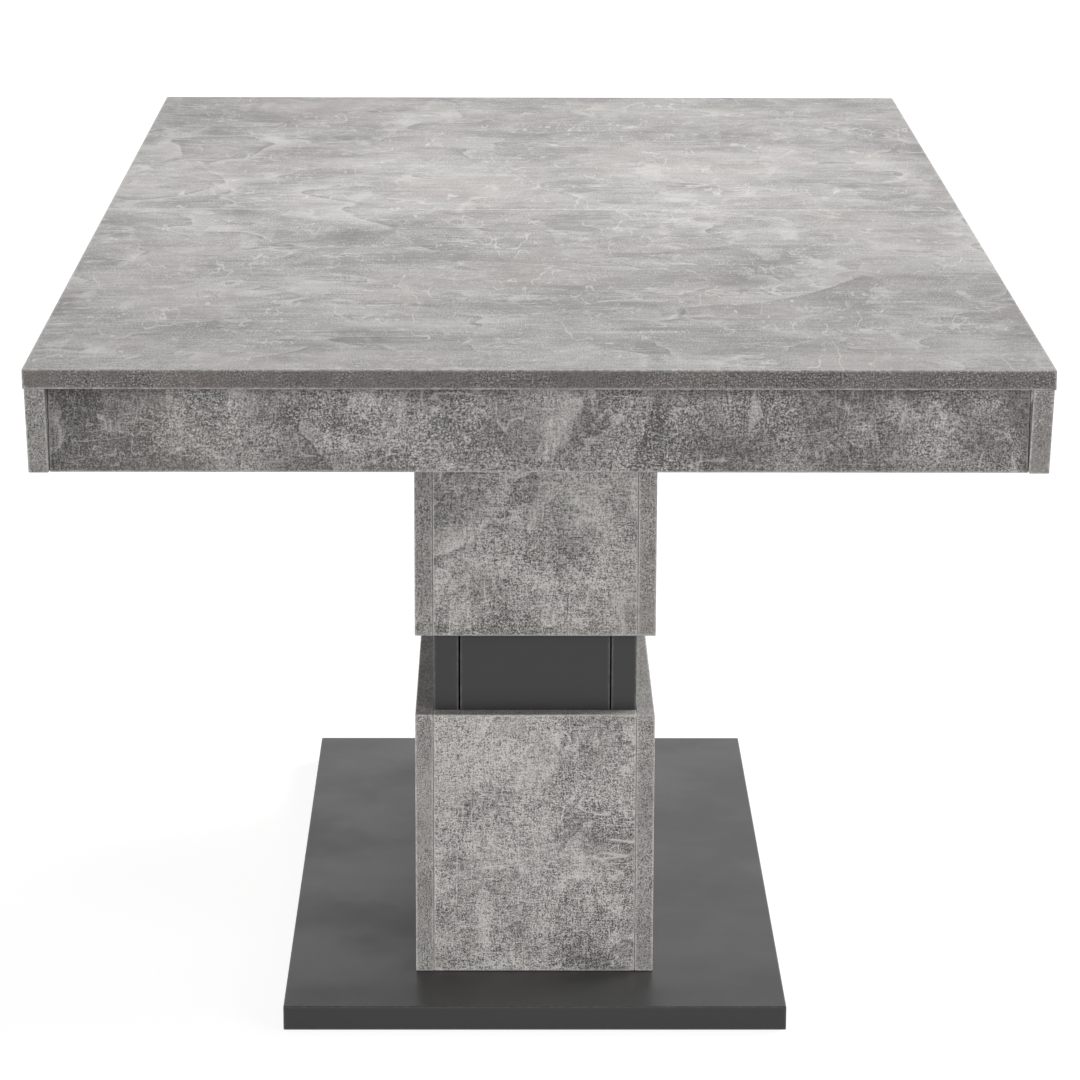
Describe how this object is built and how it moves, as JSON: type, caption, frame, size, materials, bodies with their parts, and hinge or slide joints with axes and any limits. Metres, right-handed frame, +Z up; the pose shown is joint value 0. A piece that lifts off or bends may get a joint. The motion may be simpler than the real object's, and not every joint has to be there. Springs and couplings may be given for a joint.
{
  "type": "extendable dining table",
  "caption": "Rectangular extending dining table on a box column: the top parts across the middle, its halves slide apart in step over a folded leaf.",
  "frame": {"origin": "on the floor under the middle of the column, with the top closed", "axes": "+X across the table to its right, +Y along its length away from the front end, +Z up"},
  "size_m": [0.9, 1.6, 0.75],
  "materials": {
    "concrete_board": "matte concrete-look melamine on chipboard",
    "graphite_board": "matte graphite melamine on chipboard",
    "carcass_board": "plain matte melamine on chipboard",
    "beech": "planed, unfinished beech",
    "rolled_steel": "rolled",
    "zinc_steel": "zinc plated",
    "nylon": "moulded"
  },
  "bodies": {
    "pedestal": {"base_plate": "graphite_board", "glider_front_left": "nylon", "glider_front_right": "nylon", "glider_rear_left": "nylon", "glider_rear_right": "nylon", "base_bolt_front_left": "zinc_steel", "base_bolt_front_right": "zinc_steel", "base_bolt_rear_left": "zinc_steel", "base_bolt_rear_right": "zinc_steel", "lower_block_left": "concrete_board", "lower_block_right": "concrete_board", "lower_block_front": "concrete_board", "lower_block_rear": "concrete_board", "upper_block_left": "concrete_board", "upper_block_right": "concrete_board", "upper_block_front": "concrete_board", "upper_block_rear": "concrete_board", "core_wall_left": "graphite_board", "core_wall_right": "graphite_board", "core_panel_front": "graphite_board", "core_panel_rear": "graphite_board", "head_plate": "carcass_board", "head_bolt_front_left": "zinc_steel", "head_bolt_front_right": "zinc_steel", "head_bolt_rear_left": "zinc_steel", "head_bolt_rear_right": "zinc_steel", "guide_rail_left": "rolled_steel", "guide_rail_right": "rolled_steel", "pinion_pin": "zinc_steel", "leaf_panel_lower": "concrete_board", "leaf_panel_upper": "concrete_board", "leaf_hinge_lower_front": "zinc_steel", "leaf_hinge_upper_front": "zinc_steel", "leaf_hinge_lower_rear": "zinc_steel", "leaf_hinge_upper_rear": "zinc_steel", "leaf_support_left": "beech", "leaf_support_right": "beech"},
    "top_front": {"top_slab_front": "concrete_board", "end_panel_front": "concrete_board", "apron_front_left": "concrete_board", "runner_front_left": "beech", "corner_block_front_left": "beech", "apron_front_right": "concrete_board", "runner_front_right": "beech", "corner_block_front_right": "beech", "rack_front": "rolled_steel", "seam_pin_left": "beech", "seam_pin_middle": "beech", "seam_pin_right": "beech"},
    "top_rear": {"top_slab_rear": "concrete_board", "end_panel_rear": "concrete_board", "apron_rear_left": "concrete_board", "runner_rear_left": "beech", "corner_block_rear_left": "beech", "apron_rear_right": "concrete_board", "runner_rear_right": "beech", "corner_block_rear_right": "beech", "rack_rear": "rolled_steel"},
    "pinion": {"pinion": "nylon"}
  },
  "joints": [
    {"name": "top_front_slide", "type": "slide", "parent": "pedestal", "child": "top_front", "axis": [0, -1, 0], "range_m": [0, 0.2]},
    {"name": "top_rear_slide", "type": "slide", "parent": "pedestal", "child": "top_rear", "axis": [0, 1, 0], "range_m": [0, 0.2]},
    {"name": "pinion_spin", "type": "hinge", "parent": "pedestal", "child": "pinion", "pos_m": [0, 0, 0.6751], "axis": [0, 0, -1], "range_deg": [0, 636.7]}
  ],
  "couplings": [
    {"joint": "top_rear_slide", "follows": "top_front_slide", "ratio": 1},
    {"joint": "pinion_spin", "follows": "top_front_slide", "rad_per_m": 55.556}
  ]
}
